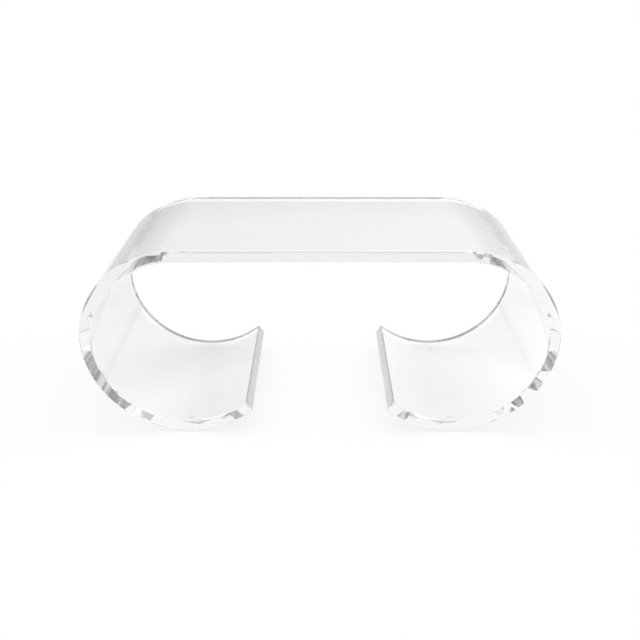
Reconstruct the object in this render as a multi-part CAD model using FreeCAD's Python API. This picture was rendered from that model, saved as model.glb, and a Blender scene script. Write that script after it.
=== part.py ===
"""Waterfall coffee table: thick clear acrylic sheet whose two ends curl down into open scrolls.

Three lengths of the same cast sheet make the table. The flat top slab carries a scroll at each
end, and a strip of poured acrylic cement butts each scroll to the slab. Every outside edge is
bevelled and polished. Four clear domed bumpers under the scrolls keep the sheet off the floor.

Axes: X along the table, Y from front to rear, Z up. The origin is on the floor, under the
centre of the top. Sizes are in millimetres and angles in degrees.
"""
import FreeCAD, Part
import os
from math import cos, hypot, radians, sin

# Whole table
table_length = 1055.0
table_depth = 457.0
table_height = 432.0

# Acrylic sheet
sheet_thickness = 25.4
arris_bevel = 1.5

# Scroll outline, as radii of the outer surface and the angles that the sheet turns through
shoulder_radius = 268.0
shoulder_turn = 21.4
side_turn = 91.4
foot_radius = 232.5
tail_rise = 35.0
tail_length = 14.0

# Butt joints between the slab and the scrolls
joint_lip = 22.0
cement_gap = 1.0

# Clear bumpers
bumper_diameter = 12.7
bumper_foot_diameter = 8.6
bumper_height = 3.0
bumper_inset = 38.0

# Heights of the sheet
sheet_bottom = bumper_height
sheet_height = table_height - sheet_bottom

# The side bend takes up the height that the shoulder and foot bends leave
side_end_turn = shoulder_turn + side_turn
shoulder_drop = shoulder_radius * (1 - cos(radians(shoulder_turn)))
foot_drop = foot_radius * (1 + cos(radians(side_end_turn)))
side_drop_per_radius = cos(radians(shoulder_turn)) - cos(radians(side_end_turn))
side_radius = (sheet_height - shoulder_drop - foot_drop) / side_drop_per_radius

# Places along X, for the right half
shoulder_reach = shoulder_radius * sin(radians(shoulder_turn))
side_reach = side_radius * (1 - sin(radians(shoulder_turn)))
bend_start = table_length / 2 - shoulder_reach - side_reach
joint_outer = bend_start - joint_lip
joint_inner = joint_outer - cement_gap
rest_line = table_length / 2 - side_radius + (side_radius - foot_radius) * sin(radians(side_end_turn))

front = -table_depth / 2

# Points nearer than this are one place
same_place = 0.01


def outline_point(centre, radius, turn):
    """The point at a turn angle on a bend, where a turn of 0 is its top and 90 its outer side."""
    angle = radians(turn)
    return FreeCAD.Vector(centre.x + radius * sin(angle), front, centre.z + radius * cos(angle))


def bend_list():
    """Centre, outer radius, start and end turn of each tangent bend, from the slab down."""
    stages = (
        (shoulder_radius, shoulder_turn),
        (side_radius, side_turn),
        (foot_radius, 180 + tail_rise - side_end_turn),
    )
    point = FreeCAD.Vector(bend_start, front, table_height)
    start = 0.0
    bends = []
    for radius, turn in stages:
        centre = outline_point(point, -radius, start)
        bends.append((centre, radius, start, start + turn))
        start += turn
        point = outline_point(centre, radius, start)
    return bends


def sheet_side(inset):
    """Edges of one face of the sheet: its lip, its three bends and its straight tail."""
    bends = bend_list()
    tail_direction = FreeCAD.Vector(-cos(radians(tail_rise)), 0, sin(radians(tail_rise)))
    first = FreeCAD.Vector(joint_outer, front, table_height - inset)
    point = FreeCAD.Vector(bend_start, front, table_height - inset)
    edges = [Part.LineSegment(first, point).toShape()]
    for centre, radius, start, end in bends:
        middle = outline_point(centre, radius - inset, (start + end) / 2)
        last = outline_point(centre, radius - inset, end)
        edges.append(Part.Arc(point, middle, last).toShape())
        point = last
    tip = point + tail_direction * tail_length
    edges.append(Part.LineSegment(point, tip).toShape())
    return edges, first, tip


def is_outside_edge(edge, tips):
    """True for the edges that are bevelled: those of both outlines, and those across the tips."""
    box = edge.BoundBox
    if box.YLength < same_place:
        return box.XMax > joint_outer + same_place
    return any(abs(box.Center.x - tip.x) + abs(box.Center.z - tip.z) < same_place for tip in tips)


def right_scroll():
    """Curl of sheet from its butt face, over the shoulder and under to its free end."""
    outer, outer_start, outer_tip = sheet_side(0)
    inner, inner_start, inner_tip = sheet_side(sheet_thickness)
    butt_edge = Part.LineSegment(outer_start, inner_start).toShape()
    end_edge = Part.LineSegment(outer_tip, inner_tip).toShape()
    loop = Part.Wire(Part.__sortEdges__(outer + inner + [butt_edge, end_edge]))
    sheet = Part.Face(loop).extrude(FreeCAD.Vector(0, table_depth, 0))
    outside = [edge for edge in sheet.Edges if is_outside_edge(edge, (outer_tip, inner_tip))]
    return sheet.makeChamfer(arris_bevel, outside)


def flat_bar(x_start, x_end):
    """Flat length of the sheet's section, with its four long edges bevelled."""
    corner = FreeCAD.Vector(x_start, front, table_height - sheet_thickness)
    bar = Part.makeBox(x_end - x_start, table_depth, sheet_thickness, corner)
    long_edges = [edge for edge in bar.Edges if edge.BoundBox.XLength > (x_end - x_start) / 2]
    return bar.makeChamfer(arris_bevel, long_edges)


def bumper(y_place):
    """Domed bumper on the rest line, its back shaped to the sheet's outer face."""
    radius = bumper_diameter / 2
    foot = bumper_foot_diameter / 2
    dome_centre = (radius**2 + bumper_height**2 - foot**2) / (2 * bumper_height)
    place = FreeCAD.Vector(rest_line, y_place, 0)
    dome = Part.makeSphere(hypot(foot, dome_centre), place + FreeCAD.Vector(0, 0, dome_centre))
    blank = Part.makeCylinder(radius, bumper_height + radius, place)
    foot_axis = FreeCAD.Vector(rest_line, front, sheet_bottom + foot_radius)
    foot_bend = Part.makeCylinder(foot_radius, table_depth, foot_axis, FreeCAD.Vector(0, 1, 0))
    return blank.common(dome).cut(foot_bend)


def mirrored(shape):
    """The same shape on the left half of the table."""
    return shape.mirror(FreeCAD.Vector(0, 0, 0), FreeCAD.Vector(1, 0, 0))


def table_nodes():
    """Every piece of the table by name."""
    scroll = right_scroll()
    cement = flat_bar(joint_inner, joint_outer)
    front_bumper = bumper(front + bumper_inset)
    rear_bumper = bumper(-front - bumper_inset)
    return {
        "top_slab": flat_bar(-joint_inner, joint_inner),
        "left_scroll": mirrored(scroll),
        "right_scroll": scroll,
        "left_cement_bond": mirrored(cement),
        "right_cement_bond": cement,
        "left_front_bumper": mirrored(front_bumper),
        "left_rear_bumper": mirrored(rear_bumper),
        "right_front_bumper": front_bumper,
        "right_rear_bumper": rear_bumper,
    }


os.makedirs("parts", exist_ok=True)
for name, shape in table_nodes().items():
    shape.exportStep("parts/" + name + ".step")
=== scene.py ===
"""Looks of the clear acrylic waterfall coffee table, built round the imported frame.

The table is one run of thick clear sheet: a flat slab with a scroll bonded to each end. Every
length of sheet is a closed mesh swept along the sheet's outline. Where two are cemented together
light crosses without bending, so those faces are clear. Sizes are in metres.
"""
from math import cos, degrees, pi, radians, sin, tan

import bpy
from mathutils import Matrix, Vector


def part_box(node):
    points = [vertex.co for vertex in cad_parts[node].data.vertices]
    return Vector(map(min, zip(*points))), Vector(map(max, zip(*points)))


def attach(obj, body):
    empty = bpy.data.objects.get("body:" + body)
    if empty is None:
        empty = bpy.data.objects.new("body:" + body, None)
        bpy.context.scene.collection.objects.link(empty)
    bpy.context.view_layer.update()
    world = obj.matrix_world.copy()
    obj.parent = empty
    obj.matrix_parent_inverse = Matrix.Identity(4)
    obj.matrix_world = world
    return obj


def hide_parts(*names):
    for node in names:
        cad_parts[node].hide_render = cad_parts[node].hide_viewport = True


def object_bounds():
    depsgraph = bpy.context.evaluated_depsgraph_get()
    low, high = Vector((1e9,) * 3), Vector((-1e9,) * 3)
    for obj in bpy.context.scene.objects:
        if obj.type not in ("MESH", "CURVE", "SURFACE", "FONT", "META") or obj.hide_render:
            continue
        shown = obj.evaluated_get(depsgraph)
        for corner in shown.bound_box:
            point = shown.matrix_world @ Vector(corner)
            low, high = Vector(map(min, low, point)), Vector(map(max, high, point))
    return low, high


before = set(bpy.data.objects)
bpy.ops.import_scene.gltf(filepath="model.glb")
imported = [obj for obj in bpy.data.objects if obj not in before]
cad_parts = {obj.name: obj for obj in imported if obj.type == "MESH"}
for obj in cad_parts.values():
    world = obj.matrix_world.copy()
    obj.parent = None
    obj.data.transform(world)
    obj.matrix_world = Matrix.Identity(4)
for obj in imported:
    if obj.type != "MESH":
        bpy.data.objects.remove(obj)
cad_low, cad_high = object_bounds()

# The sheet's outline as in the part: radii of its outer face and the angles it turns through
SHOULDER_RADIUS = 0.268
SHOULDER_TURN = radians(21.4)
SIDE_END_TURN = radians(21.4 + 91.4)
FOOT_RADIUS = 0.2325
TAIL_RISE = radians(35.0)
TAIL_LENGTH = 0.014
ARRIS_BEVEL = 0.0015

# The formed shoulder sets off tighter than its mean arc, within 0.8 mm of it
TIGHT_RADIUS = 0.19
TIGHT_TURN = radians(13.0)

# Arrises as polished: flat bevels with a small round to each side
ARRIS_ROUND = 0.0004

# Sizes and places taken from the frame, and the height that the bumpers hold the sheet at
slab_low, slab_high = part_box("top_slab")
bond_low, bond_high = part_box("right_cement_bond")
TABLE_HEIGHT = slab_high.z
THICKNESS = slab_high.z - slab_low.z
DEPTH = slab_high.y - slab_low.y
JOINT_INNER = bond_low.x
JOINT_OUTER = bond_high.x
HALF_LENGTH = cad_high.x
SHEET_BOTTOM = 0.003

# The side bend takes up the height that the other two leave
SIDE_RADIUS = (
    TABLE_HEIGHT - SHEET_BOTTOM
    - SHOULDER_RADIUS * (1 - cos(SHOULDER_TURN))
    - FOOT_RADIUS * (1 + cos(SIDE_END_TURN))
) / (cos(SHOULDER_TURN) - cos(SIDE_END_TURN))
BEND_START = (
    HALF_LENGTH - SHOULDER_RADIUS * sin(SHOULDER_TURN) - SIDE_RADIUS * (1 - sin(SHOULDER_TURN))
)

# Clear bumper: radius from its middle and height over the floor, from the foot to the back
bumper_low, bumper_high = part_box("right_front_bumper")
BUMPER_PLACE = ((bumper_low + bumper_high) / 2).xy
BUMPER_OUTLINE = (
    (0.00365, 0.0),
    (0.00405, 0.00003),
    (0.00445, 0.00018),
    (0.00500, 0.00062),
    (0.00550, 0.00122),
    (0.00590, 0.00184),
    (0.00615, 0.00232),
    (0.00629, 0.00262),
    (0.00633, 0.00272),
    (0.00628, 0.00280),
    (0.00605, 0.00282),
)
BUMPER_SEGMENTS = 48
BUMPER_SHARP = radians(50)
TAPE_GAP = 0.00002

# How the front edge's normals lean, in degrees, by the turn of the sheet in degrees. Hot bending
# draws the outside of a bend narrower and its inside wider, so some lean is likely. These values
# were chosen for the dark and bright patches that the photo has along each scroll.
LEFT_EDGE_LEAN = (
    (0, 0.7), (6.5, 0.7), (7.5, -4.5), (12, -2.5), (15, 0), (21, 2), (23, 0), (96, 0), (97, -8),
    (101, -7), (105, -4.5), (108, -2.5), (112, 0), (117, 2), (122, 3.5), (127, 6), (134, 8),
    (141, 9.5), (142.5, 2), (145, 2), (146, 9.5), (157, 9), (158, 2.5), (186, 2), (195, -3),
    (203, -4), (206, -6), (207.5, -1.5), (211, -2.5), (212.5, 2.5), (216, 2),
)
RIGHT_EDGE_LEAN = (
    (0, 0.7), (4.5, 0.7), (5.5, -4.5), (10, -2), (11, 3.5), (14, 4), (15, -1), (21, 1), (23, 0),
    (96, 0), (97.5, -8), (102, -7), (108, -3), (111, -1), (113, -6), (118, -5), (119, 3), (125, 5),
    (127, -2), (133, 0), (135, 8), (139, 9), (142, -3), (146, 4), (150, 8), (153, 2), (158, 3),
    (186, 2), (195, -3), (203, -4), (206, -5), (207.5, -1), (211, -2), (212.5, 2.5), (216, 2),
)
SLAB_EDGE_LEAN = 0.7

# Fineness of the meshes
TURN_STEP = radians(1.0)
ROUND_STEPS = 3

# Sideways parts of normals: beyond the first number lies only the front edge's own, and two
# neighbours add up to more than the second on an edge and more than the third on an arris
FRONT_EDGE_NORMAL = -0.999
EDGE_NORMALS = 1.95
ARRIS_NORMALS = 0.1


def scroll_stations():
    """Points of the outer face from the butt joint to the tail, with the sheet's turn at each."""
    drop = SHOULDER_RADIUS * (1 - cos(SHOULDER_TURN)) - TIGHT_RADIUS * (1 - cos(TIGHT_TURN))
    slack_radius = drop / (cos(TIGHT_TURN) - cos(SHOULDER_TURN))
    slack_reach = slack_radius * (sin(SHOULDER_TURN) - sin(TIGHT_TURN))
    reach = SHOULDER_RADIUS * sin(SHOULDER_TURN) - TIGHT_RADIUS * sin(TIGHT_TURN) - slack_reach
    x, z, turn = BEND_START + reach, TABLE_HEIGHT, 0.0
    stations = [(JOINT_OUTER, z, turn), (x, z, turn)]
    bends = (
        (TIGHT_RADIUS, TIGHT_TURN),
        (slack_radius, SHOULDER_TURN),
        (SIDE_RADIUS, SIDE_END_TURN),
        (FOOT_RADIUS, pi + TAIL_RISE),
    )
    for radius, end_turn in bends:
        centre_x = x - radius * sin(turn)
        centre_z = z - radius * cos(turn)
        steps = round((end_turn - turn) / TURN_STEP)
        for step in range(1, steps + 1):
            angle = turn + (end_turn - turn) * step / steps
            stations.append((centre_x + radius * sin(angle), centre_z + radius * cos(angle), angle))
        x, z, turn = stations[-1]
    return stations


def edge_lean(leans, turn):
    """Lean of the front edge at a turn of the sheet, between the listed ones."""
    at = degrees(turn)
    for (low, first), (high, second) in zip(leans, leans[1:]):
        if at <= high:
            return radians(first + (second - first) * (at - low) / (high - low))
    return radians(leans[-1][1])


def arris_profile():
    """An arris from one face onto the next: way from the corner along each, and surface lean."""
    flat_end = ARRIS_BEVEL + ARRIS_ROUND * tan(pi / 8)
    leans = [pi / 4 * step / ROUND_STEPS for step in range(ROUND_STEPS + 1)]
    onto = [(flat_end - ARRIS_ROUND * sin(a), ARRIS_ROUND * (1 - cos(a)), a) for a in leans]
    off = [(along_next, along, pi / 2 - a) for along, along_next, a in reversed(onto)]
    return onto + off


def section_loop():
    """The sheet's section as (y, depth under the outer face, normal's y, normal's depth)."""
    front, rear = -1, 1
    loop = []
    for side, under in ((front, False), (front, True), (rear, True), (rear, False)):
        onto_edge = under == (side == rear)
        profile = arris_profile() if onto_edge else arris_profile()[::-1]
        for along_face, along_edge, lean in profile:
            y = side * (DEPTH / 2 - along_face)
            deep = THICKNESS - along_edge if under else along_edge
            loop.append((y, deep, side * sin(lean), cos(lean) if under else -cos(lean)))
    return loop


SECTION = section_loop()


def new_object(name, mesh):
    """An object of the mesh, in the scene."""
    obj = bpy.data.objects.new(name, mesh)
    bpy.context.scene.collection.objects.link(obj)
    return obj


class SheetMesh:
    """Rings of the section along a length of sheet, joined into a closed mesh."""

    FACE, EDGE, ARRIS, BONDED = range(4)

    def __init__(self):
        self.vertices = []
        self.normals = []
        self.faces = []
        self.kinds = []

    def ring(self, x, z, turn, front_lean=0.0, inset=0.0, lean=0.0):
        """Adds the section at an outline point, shrunk by an inset and leaning to the end."""
        out = Vector((sin(turn), 0, cos(turn)))
        onward = Vector((cos(turn), 0, -sin(turn)))
        for y, deep, normal_y, normal_deep in SECTION:
            y += inset if y < 0 else -inset
            deep += inset if deep < THICKNESS / 2 else -inset
            if normal_y < FRONT_EDGE_NORMAL:
                normal_deep = -sin(front_lean)
            across = Vector((0, normal_y, 0)) - out * normal_deep
            normal = across * cos(lean) + onward * sin(lean)
            self.vertices.append(Vector((x, y, z)) - out * deep)
            self.normals.append(normal.normalized())

    def cap(self, first, kind):
        """Closes the first or the last ring with one face."""
        start = 0 if first else len(self.vertices) - len(SECTION)
        ring = list(range(start, start + len(SECTION)))
        self.faces.append(ring[::-1] if first else ring)
        self.kinds.append(kind)

    def kind_between(self, first, second):
        """What the face between two neighbours of a ring belongs to."""
        sideways = abs(self.normals[first].y) + abs(self.normals[second].y)
        if sideways > EDGE_NORMALS:
            return self.EDGE
        return self.ARRIS if sideways > ARRIS_NORMALS else self.FACE

    def walls(self):
        """Joins each ring to the next."""
        size = len(SECTION)
        for start in range(0, len(self.vertices) - size, size):
            for here in range(start, start + size):
                after = start + (here + 1 - start) % size
                self.faces.append((here, after, after + size, here + size))
                self.kinds.append(self.kind_between(here, after))

    def mirrored(self):
        """The same length of sheet at the table's left end."""
        other = SheetMesh()
        other.vertices = [Vector((-v.x, v.y, v.z)) for v in self.vertices]
        other.normals = [Vector((-n.x, n.y, n.z)) for n in self.normals]
        other.faces = [tuple(reversed(face)) for face in self.faces]
        other.kinds = list(self.kinds)
        return other

    def piece(self, name, node, slot, materials):
        """Makes the object that stands for a node, with exact normals."""
        mesh = bpy.data.meshes.new(name)
        mesh.from_pydata(self.vertices, [], self.faces)
        for material in materials:
            mesh.materials.append(material)
        mesh.polygons.foreach_set("material_index", self.kinds)
        mesh.polygons.foreach_set("use_smooth", [True] * len(self.faces))
        mesh.update()
        normals = []
        for polygon in mesh.polygons:
            is_cap = len(polygon.vertices) == len(SECTION)
            for corner in polygon.vertices:
                normals.append(polygon.normal.copy() if is_cap else self.normals[corner])
        mesh.normals_split_custom_set(normals)
        obj = new_object(name, mesh)
        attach(obj, "root")
        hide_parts(node)


def flat_length(x_start, x_end):
    """Sheet between two cemented faces."""
    sheet = SheetMesh()
    for x in (x_start, x_end):
        sheet.ring(x, TABLE_HEIGHT, 0.0, radians(SLAB_EDGE_LEAN))
    sheet.walls()
    sheet.cap(True, SheetMesh.BONDED)
    sheet.cap(False, SheetMesh.BONDED)
    return sheet


def scroll(leans):
    """Sheet from its cemented face round to its bevelled free end."""
    sheet = SheetMesh()
    stations = scroll_stations()
    for x, z, turn in stations:
        sheet.ring(x, z, turn, edge_lean(leans, turn))
    x, z, turn = stations[-1]
    for to_tip, inset, lean in arris_profile():
        onward = TAIL_LENGTH - to_tip
        tip_x, tip_z = x + onward * cos(turn), z - onward * sin(turn)
        sheet.ring(tip_x, tip_z, turn, edge_lean(leans, turn), inset, lean)
    sheet.walls()
    sheet.cap(True, SheetMesh.BONDED)
    sheet.cap(False, SheetMesh.EDGE)
    return sheet


def outer_face_height(x):
    """Height of the right scroll's outer face over the floor, near its rest line."""
    return SHEET_BOTTOM + FOOT_RADIUS - (FOOT_RADIUS**2 - (x - BUMPER_PLACE.x) ** 2) ** 0.5


def bumper(name, node, across, deep, material):
    """Low clear dome with a flat foot and a rim, held under the sheet by a thin disc of tape."""
    centre_x = BUMPER_PLACE.x * across
    centre_y = BUMPER_PLACE.y * deep
    rings = BUMPER_OUTLINE + (BUMPER_OUTLINE[-1],)
    back = len(BUMPER_OUTLINE)
    vertices = []
    for ring, (radius, height) in enumerate(rings):
        for step in range(BUMPER_SEGMENTS):
            angle = 2 * pi * step / BUMPER_SEGMENTS
            x, y = radius * cos(angle), radius * sin(angle)
            z = outer_face_height(BUMPER_PLACE.x + x) - TAPE_GAP if ring == back else height
            vertices.append((centre_x + x, centre_y + y, z))
    faces = []
    for low in range(0, back * BUMPER_SEGMENTS, BUMPER_SEGMENTS):
        high = low + BUMPER_SEGMENTS
        for here in range(BUMPER_SEGMENTS):
            after = (here + 1) % BUMPER_SEGMENTS
            faces.append((low + here, low + after, high + after, high + here))
    faces.append(tuple(range(BUMPER_SEGMENTS))[::-1])
    faces.append(tuple(range(back * BUMPER_SEGMENTS, len(rings) * BUMPER_SEGMENTS)))
    mesh = bpy.data.meshes.new(name)
    mesh.from_pydata(vertices, [], faces)
    mesh.materials.append(material)
    mesh.polygons.foreach_set("use_smooth", [len(face) == 4 for face in faces])
    mesh.set_sharp_from_angle(angle=BUMPER_SHARP)
    mesh.update()
    obj = new_object(name, mesh)
    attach(obj, "root")
    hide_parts(node)

    # The floor's light passes the clear domes by, because they came out as dark spots on it
    obj.visible_diffuse = False


def new_material(name):
    """A material with an empty node tree, its nodes and its links."""
    material = bpy.data.materials.new(name)
    material.use_nodes = True
    nodes = material.node_tree.nodes
    nodes.clear()
    return material, nodes, material.node_tree.links


def set_socket(links, socket, value):
    """Sets a node's input to a number or joins it to another node's output."""
    if isinstance(value, bpy.types.NodeSocket):
        links.new(value, socket)
    else:
        socket.default_value = value


def calc(tree, operation, *values):
    """A Math node of the values, as its output."""
    node = tree.nodes.new("ShaderNodeMath")
    node.operation = operation
    for socket, value in zip(node.inputs, values):
        set_socket(tree.links, socket, value)
    return node.outputs[0]


def product(tree, first, *others):
    """The values multiplied, as an output."""
    for value in others:
        first = calc(tree, "MULTIPLY", first, value)
    return first


def mixed(tree, factor, first, second):
    """A Mix node from the first value to the second, as its output."""
    node = tree.nodes.new("ShaderNodeMix")
    number_sockets = (node.inputs[0], node.inputs[2], node.inputs[3])
    for socket, value in zip(number_sockets, (factor, first, second)):
        set_socket(tree.links, socket, value)
    return node.outputs[0]


def ranged(tree, value, low, high, to_low, to_high):
    """The value carried from one range to another, and held to it."""
    node = tree.nodes.new("ShaderNodeMapRange")
    tree.links.new(value, node.inputs["Value"])
    for socket, number in zip(node.inputs[1:5], (low, high, to_low, to_high)):
        socket.default_value = number
    return node.outputs[0]


def noise(tree, size, detail=2.0, place="Object"):
    """Noise whose blotches are about the given size, as its output from 0 to 1."""
    places = tree.nodes.new("ShaderNodeTexCoord")
    node = tree.nodes.new("ShaderNodeTexNoise")
    node.inputs["Scale"].default_value = 1.0 / size
    node.inputs["Detail"].default_value = detail
    tree.links.new(places.outputs[place], node.inputs["Vector"])
    return node.outputs["Fac"]


# Clear acrylic: refractive index, and the share of the light that a face lets in and out, squared
ACRYLIC_INDEX = 1.49
SHEET_TONE = 0.93
BUMPER_TONE = 0.9

# How the tone wanders over the sheet: size of the blotches, their range and what they add to it
CAST_BLOTCH = 0.09
CAST_RANGE = (0.35, 0.65)
CAST_DARKER = (-0.008, -0.002, 0.0)
CAST_LIGHTER = (0.006, 0.008, 0.008)

# Smudges from handling, and the detail of the surface's waves
SMUDGE_SIZE = 0.035
SMUDGE_DETAIL = 4.0
SMUDGE_RANGE = (0.45, 0.75)
WAVE_DETAIL = 1.0

# Waves of each surface as (size, height), and its roughness where clean and where handled
SURFACES = {
    "cast_sheet_face": (((0.12, 0.00003),), (0.0, 0.012)),
    "formed_sheet_face": (((0.09, 0.00018), (0.03, 0.00001)), (0.0, 0.014)),
    "polished_edge": (((0.05, 0.00001),), (0.0, 0.02)),
    "formed_edge": (((0.012, 0.00006), (0.004, 0.000006)), (0.0, 0.03)),
    "polished_arris": (((0.03, 0.000001),), (0.0, 0.02)),
    "clear_urethane": (((0.003, 0.00001),), (0.02, 0.08)),
}


def acrylic(name, tone=SHEET_TONE):
    """Clear acrylic with the waves and the roughness of a surface in the list."""
    waves, roughness = SURFACES[name]
    material, nodes, links = new_material(name)
    tree = material.node_tree
    shader = nodes.new("ShaderNodeBsdfPrincipled")
    shader.inputs["Transmission Weight"].default_value = 1.0
    shader.inputs["IOR"].default_value = ACRYLIC_INDEX
    cast = nodes.new("ShaderNodeValToRGB")
    for element, place, change in zip(
        cast.color_ramp.elements, CAST_RANGE, (CAST_DARKER, CAST_LIGHTER)
    ):
        element.position = place
        element.color = (*(tone + part for part in change), 1.0)
    links.new(noise(tree, CAST_BLOTCH), cast.inputs[0])
    links.new(cast.outputs[0], shader.inputs["Base Color"])
    smudges = noise(tree, SMUDGE_SIZE, SMUDGE_DETAIL)
    links.new(ranged(tree, smudges, *SMUDGE_RANGE, *roughness), shader.inputs["Roughness"])
    height = 0.0
    for size, rise in waves:
        wave = product(tree, noise(tree, size, WAVE_DETAIL), rise)
        height = calc(tree, "ADD", height, wave)
    bump = nodes.new("ShaderNodeBump")
    bump.inputs["Strength"].default_value = 1.0
    bump.inputs["Distance"].default_value = 1.0
    links.new(height, bump.inputs["Height"])
    links.new(bump.outputs[0], shader.inputs["Normal"])
    output = nodes.new("ShaderNodeOutputMaterial")
    links.new(shader.outputs[0], output.inputs["Surface"])
    return material


def cemented():
    """Two faces joined with cement of the sheet's own index: light goes straight on."""
    material, nodes, links = new_material("cemented_face")
    output = nodes.new("ShaderNodeOutputMaterial")
    shader = nodes.new("ShaderNodeBsdfTransparent")
    links.new(shader.outputs[0], output.inputs["Surface"])
    return material


# Materials in the order of SheetMesh's kinds, then the pieces
bond = cemented()
arris = acrylic("polished_arris")
cast_sheet = (acrylic("cast_sheet_face"), acrylic("polished_edge"), arris, bond)
formed_sheet = (acrylic("formed_sheet_face"), acrylic("formed_edge"), arris, bond)
slab = flat_length(-JOINT_INNER, JOINT_INNER)
slab.piece("top_slab_clear", "top_slab", "clear_acrylic", cast_sheet)
cement = flat_length(JOINT_INNER, JOINT_OUTER)
cement.piece("right_cement_clear", "right_cement_bond", "acrylic_cement", cast_sheet)
cement.mirrored().piece("left_cement_clear", "left_cement_bond", "acrylic_cement", cast_sheet)
right_curl = scroll(RIGHT_EDGE_LEAN)
right_curl.piece("right_scroll_clear", "right_scroll", "clear_acrylic", formed_sheet)
left_curl = scroll(LEFT_EDGE_LEAN).mirrored()
left_curl.piece("left_scroll_clear", "left_scroll", "clear_acrylic", formed_sheet)
urethane = acrylic("clear_urethane", BUMPER_TONE)
for side, across in (("left", -1), ("right", 1)):
    for end, deep in (("front", 1), ("rear", -1)):
        name = side + "_" + end + "_bumper"
        bumper(name + "_clear", name, across, deep, urethane)

# Camera: its focus is in pixels of the photo's width, its place is from the sheet's front and foot
CAMERA_PITCH = radians(22.18)
CAMERA_FOCUS = 876.1
CAMERA_SENSOR = 36.0
CAMERA_TO_FRONT = 1.759
CAMERA_ABOVE_SHEET = 0.9892
FRAME_WIDTH = 640
camera_data = bpy.data.cameras.new("camera")
camera_data.sensor_width = CAMERA_SENSOR
camera_data.lens = CAMERA_SENSOR * CAMERA_FOCUS / FRAME_WIDTH
camera = new_object("camera", camera_data)
camera.location = (0.0, cad_low.y - CAMERA_TO_FRONT, SHEET_BOTTOM + CAMERA_ABOVE_SHEET)
camera.rotation_euler = (pi / 2 - CAMERA_PITCH, 0.0, 0.0)
bpy.context.scene.camera = camera

# Studio. All that follows is what the clear sheet shows; the camera itself sees plain white, and
# the floor is lit by even white light. The levels were set to give the photo's greys.
# X, Y and Z of the walls are parts of a direction of length 1, so Z is the sine of the elevation.
# Those of the floor are places.

# Back wall by Z, side walls from one |X| to another, and how the walls lean to the right
BACK_WALL = (
    (0.0, 0.75), (0.05, 0.69), (0.10, 0.68), (0.15, 0.71), (0.20, 0.81), (0.25, 0.89), (0.30, 0.92),
    (0.36, 0.84), (0.45, 0.95), (0.60, 1.05), (0.80, 1.33), (1.0, 1.40),
)
SIDE_WALL = 0.88
SIDE_FROM = (0.32, 0.36)
SIDE_LEAN = 0.22

# Front wall, seen in light turned twice: range of Z and the levels there, and range of Y
FRONT_WALL = (0.25, 0.28, 2.2, 1.1)
FRONT_FROM = (-0.3, -0.2)

# Cards along the foot of the back wall, seen in light from along the sheet: the middle one by
# |X|, the blotchy dark ones by X from -CARD_REACH to CARD_REACH, and where one gives way to the
# next along |X| and to the wall along Z
CARD = ((0.0, 0.60), (0.215, 0.60), (0.235, 1.0), (1.0, 1.0))
CARD_DARK = (
    (0.0, 0.61), (0.125, 0.61), (0.167, 0.41), (0.5, 0.41), (0.733, 0.54), (0.779, 0.54),
    (0.792, 0.46), (1.0, 0.46),
)
CARD_REACH = 0.6
CARD_FROM = (0.265, 0.285)
CARD_TOP = (0.42, 0.55)
CARD_BLOTCH = 0.05
CARD_BLOTCH_RANGE = (0.40, 0.60, 0.60, 1.45)

# Light that the floor gets through the sheet, by the number of faces that it crosses
SOFT_LIGHT = 1.0
SHADE_LIGHT = (2.5, 3.5, 1.09, 0.86)

# Open floor as the clear sheet shows it: a pool of light painted into its colour about a middle,
# up to 1.3 near the table to make up for the shadow there, with painted shade that greys it far
# away and painted light that makes it lighter to the right
POOL_MIDDLE = (0.14, -0.5)
POOL_REACH = 3.0
POOL_OPEN = (
    (0.0, 1.24), (0.16, 1.26), (0.22, 1.30), (0.27, 1.14), (0.326, 1.08), (0.37, 1.055),
    (0.40, 1.02), (0.45, 1.02), (0.50, 1.0), (0.667, 1.0), (0.933, 0.76), (1.0, 0.76),
)
POOL_LEAN = 0.045
FLOOR_REACH = 30.0

# Floor in light from along the sheet: a pool of light painted into its colour about a middle, by
# distance, and painted shade that falls along Y
PIPED_MIDDLE = (0.4, 0.6)
PIPED_POOL = (1.4, 5.5, 1.0, 0.42)
PIPED_REAR = (0.45, 1.1, 1.05, 0.93)

# Painted shade on the floor in light that one edge has turned back: its colour is made dark there,
# which draws the dark outlines of the rear edges. Its level along Y, its blotches of painted shade
# away from the middle, and where it is
TURNED_LEVEL = (-1.0, -0.9, 0.0, 0.38)
TURNED_BLOTCH = 0.06
TURNED_BLOTCH_RANGE = (0.42, 0.60, 0.08, 0.60)
TURNED_BLOTCH_FROM = (0.5, 0.6)
TURNED_REAR_END = (0.20, 0.24)
TURNED_MIDDLE_Y = -0.7
TURNED_HALF_Y = 0.95
TURNED_HALF_X = 1.35

# Painted shade on the floor in light turned twice: its colour is made dark there, which draws the
# outer outline of the bands
TWICE_LEVEL = 0.35
TWICE_MIDDLE_Y = 0.65
TWICE_HALF_Y = 0.10

# Light turned more often than this inside the sheet has come along it from an edge
PIPED_TURNS = 2.5

# The sheet takes some of the light with a long way through it, which is painted as shade into the
# floor's colour and dims the walls that the sheet shows: turns, and the share that is left
LONG_WAY = (38.0, 90.0, 1.0, 0.45)

# Counts of turns and of crossed faces are whole, so a half tells them apart. Light that goes into
# the sheet and out of it once crosses two faces.
HALF_A_COUNT = 0.5
IN_AND_OUT = 2.0

# A ramp's colours end at 1, and the levels that are read from one at this
HIGHEST_LEVEL = 2.0

# How often light is followed through the sheet's surfaces, and through its cemented faces
MOST_TURNS = 160
MOST_CLEAR_FACES = 48


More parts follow.
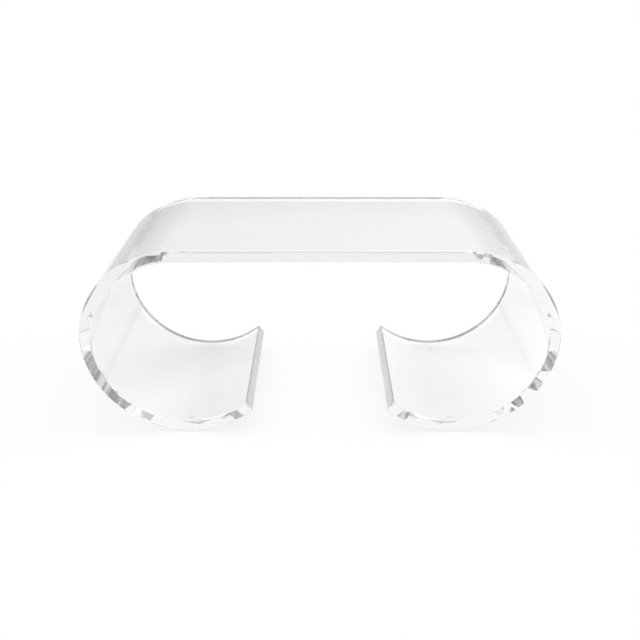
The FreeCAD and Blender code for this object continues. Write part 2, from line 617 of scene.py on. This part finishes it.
def wall_level(tree, stops, value):
    """Level by a value from 0 to 1, between the listed stops."""
    ramp = tree.nodes.new("ShaderNodeValToRGB")
    ramp.color_ramp.interpolation = "LINEAR"
    elements = ramp.color_ramp.elements
    while len(elements) < len(stops):
        elements.new(1.0)
    for element, (position, level) in zip(elements, stops):
        element.position = position
        element.color = (*[level / HIGHEST_LEVEL] * 3, 1.0)
    tree.links.new(value, ramp.inputs[0])
    return product(tree, ramp.outputs[0], HIGHEST_LEVEL)


def apart(tree, place, middle):
    """How far a place on the floor is from a middle."""
    node = tree.nodes.new("ShaderNodeVectorMath")
    node.operation = "DISTANCE"
    tree.links.new(place, node.inputs[0])
    node.inputs[1].default_value = (*middle, 0.0)
    return node.outputs["Value"]


class Light:
    """What Blender tells of the light that reaches a surface or the studio's walls."""

    def __init__(self, tree, place):
        self.tree = tree
        self.place = place
        self.rays = tree.nodes.new("ShaderNodeLightPath").outputs
        split = tree.nodes.new("ShaderNodeSeparateXYZ")
        tree.links.new(place, split.inputs[0])
        self.x, self.y, self.z = split.outputs
        self.across = calc(tree, "ABSOLUTE", self.x)

    def seen_in_sheet(self):
        """1 for light on its way through the sheet or turned by it."""
        glossy, through = self.rays["Is Glossy Ray"], self.rays["Is Transmission Ray"]
        return calc(self.tree, "MAXIMUM", glossy, through)

    def unscattered(self):
        """1 for light that the floor hasn't scattered."""
        return calc(self.tree, "LESS_THAN", self.rays["Diffuse Depth"], HALF_A_COUNT)

    def turned(self, times):
        """1 for light that was turned just so often inside the sheet."""
        return calc(self.tree, "COMPARE", self.rays["Glossy Depth"], times, HALF_A_COUNT)

    def passed_once(self):
        """1 for light that went into the sheet and out of it once."""
        return calc(self.tree, "COMPARE", self.rays["Transmission Depth"], IN_AND_OUT, HALF_A_COUNT)

    def piped(self):
        """1 for light that has come along the sheet."""
        return calc(self.tree, "GREATER_THAN", self.rays["Glossy Depth"], PIPED_TURNS)

    def left_over(self):
        """Share of the light left after its way through the sheet."""
        return ranged(self.tree, self.rays["Glossy Depth"], *LONG_WAY)


def card_level(light, back):
    """Level of the cards and of the back wall over them."""
    tree = light.tree
    blotches = ranged(tree, noise(tree, CARD_BLOTCH, place="Generated"), *CARD_BLOTCH_RANGE)
    along = ranged(tree, light.x, -CARD_REACH, CARD_REACH, 0.0, 1.0)
    dark = product(tree, blotches, wall_level(tree, CARD_DARK, along))
    outward = ranged(tree, light.across, *CARD_FROM, 0.0, 1.0)
    card = mixed(tree, outward, wall_level(tree, CARD, light.across), dark)
    return mixed(tree, ranged(tree, light.z, *CARD_TOP, 0.0, 1.0), card, back)


def studio_walls(light):
    """Level of the walls as the clear sheet shows them."""
    tree = light.tree
    back = wall_level(tree, BACK_WALL, light.z)
    room = calc(tree, "MAXIMUM", back, ranged(tree, light.across, *SIDE_FROM, 0.0, SIDE_WALL))
    along_sheet = product(tree, card_level(light, back), light.left_over())
    lean = calc(tree, "MULTIPLY_ADD", light.x, SIDE_LEAN, 1.0)
    walls = product(tree, mixed(tree, light.piped(), room, along_sheet), lean)
    front = product(tree, ranged(tree, light.z, *FRONT_WALL), light.turned(2.0))
    front = product(tree, front, ranged(tree, light.y, *FRONT_FROM, 1.0, 0.0))
    return calc(tree, "MAXIMUM", walls, front)


def studio_world():
    """White for the camera, soft even light for the floor, and grey walls for the clear sheet."""
    world = bpy.data.worlds.new("studio")
    world.use_nodes = True
    tree = world.node_tree
    tree.nodes.clear()
    light = Light(tree, tree.nodes.new("ShaderNodeTexCoord").outputs["Generated"])
    shade = ranged(tree, light.rays["Transmission Depth"], *SHADE_LIGHT)
    in_sheet = mixed(tree, light.unscattered(), shade, studio_walls(light))
    level = mixed(tree, light.seen_in_sheet(), SOFT_LIGHT, in_sheet)
    background = tree.nodes.new("ShaderNodeBackground")
    background.inputs["Color"].default_value = (1.0, 1.0, 1.0, 1.0)
    strength = mixed(tree, light.rays["Is Camera Ray"], level, 1.0)
    tree.links.new(strength, background.inputs["Strength"])
    output = tree.nodes.new("ShaderNodeOutputWorld")
    tree.links.new(background.outputs[0], output.inputs[0])
    return world


def open_floor(light):
    """Colour of the open floor: a painted pool of light, with painted shade far away."""
    tree = light.tree
    side = ranged(tree, light.x, -1.0, 1.0, -1.0, 1.0)
    lean = calc(tree, "MULTIPLY_ADD", side, POOL_LEAN, 1.0 - POOL_LEAN)
    reach = ranged(tree, apart(tree, light.place, POOL_MIDDLE), 0.0, POOL_REACH, 0.0, 1.0)
    return product(tree, wall_level(tree, POOL_OPEN, reach), lean)


def piped_floor(light):
    """Colour of the floor in light from along the sheet: a painted pool of light and painted shade.
    """
    tree = light.tree
    pool = ranged(tree, apart(tree, light.place, PIPED_MIDDLE), *PIPED_POOL)
    return product(tree, pool, ranged(tree, light.y, *PIPED_REAR), light.left_over())


def turned_floor(light):
    """Colour of the floor in light that one edge has turned back: painted shade."""
    tree = light.tree
    blotches = ranged(tree, noise(tree, TURNED_BLOTCH), *TURNED_BLOTCH_RANGE)
    outward = ranged(tree, light.across, *TURNED_BLOTCH_FROM, 0.0, 1.0)
    return mixed(tree, outward, ranged(tree, light.y, *TURNED_LEVEL), blotches)


def is_turned_back(light):
    """1 in light that one edge has turned back onto the floor round the table, where the floor
    takes painted shade.
    """
    tree = light.tree
    before = ranged(tree, light.y, *TURNED_REAR_END, 1.0, 0.0)
    along = calc(tree, "COMPARE", light.y, TURNED_MIDDLE_Y, TURNED_HALF_Y)
    beside = calc(tree, "LESS_THAN", light.across, TURNED_HALF_X)
    return product(tree, light.turned(1.0), light.passed_once(), before, along, beside)


def studio_floor():
    """A wide white floor. Light seen through the clear sheet finds painted light and painted shade
    in its colour: greyer far away, and dark by the sheet's edges.
    """
    material, nodes, links = new_material("studio_floor")
    tree = material.node_tree
    light = Light(tree, nodes.new("ShaderNodeNewGeometry").outputs["Position"])
    # Painted light and painted shade in the floor's colour, for light seen through the sheet: dark
    # outlines, a pool of light and greying far away
    behind = calc(tree, "COMPARE", light.y, TWICE_MIDDLE_Y, TWICE_HALF_Y)
    contour = product(tree, light.turned(2.0), light.passed_once(), behind)
    pool = mixed(tree, light.piped(), open_floor(light), piped_floor(light))
    pool = mixed(tree, contour, pool, TWICE_LEVEL)
    pool = mixed(tree, is_turned_back(light), pool, turned_floor(light))
    in_sheet = product(tree, light.seen_in_sheet(), light.unscattered())
    shader = nodes.new("ShaderNodeBsdfDiffuse")
    links.new(mixed(tree, in_sheet, 1.0, pool), shader.inputs["Color"])
    output = nodes.new("ShaderNodeOutputMaterial")
    links.new(shader.outputs[0], output.inputs["Surface"])
    mesh = bpy.data.meshes.new("floor")
    signs = ((-1, -1), (1, -1), (1, 1), (-1, 1))
    corners = [(x * FLOOR_REACH, y * FLOOR_REACH, 0.0) for x, y in signs]
    mesh.from_pydata(corners, [], [(0, 1, 2, 3)])
    mesh.materials.append(material)
    floor = new_object("floor", mesh)


scene = bpy.context.scene
scene.world = studio_world()
studio_floor()
scene.view_settings.view_transform = "Standard"

# Sharp images stay sharp however often light was turned before
scene.cycles.blur_glossy = 0.0
scene.cycles.max_bounces = MOST_TURNS
scene.cycles.glossy_bounces = MOST_TURNS
scene.cycles.transmission_bounces = MOST_TURNS
scene.cycles.transparent_max_bounces = MOST_CLEAR_FACES
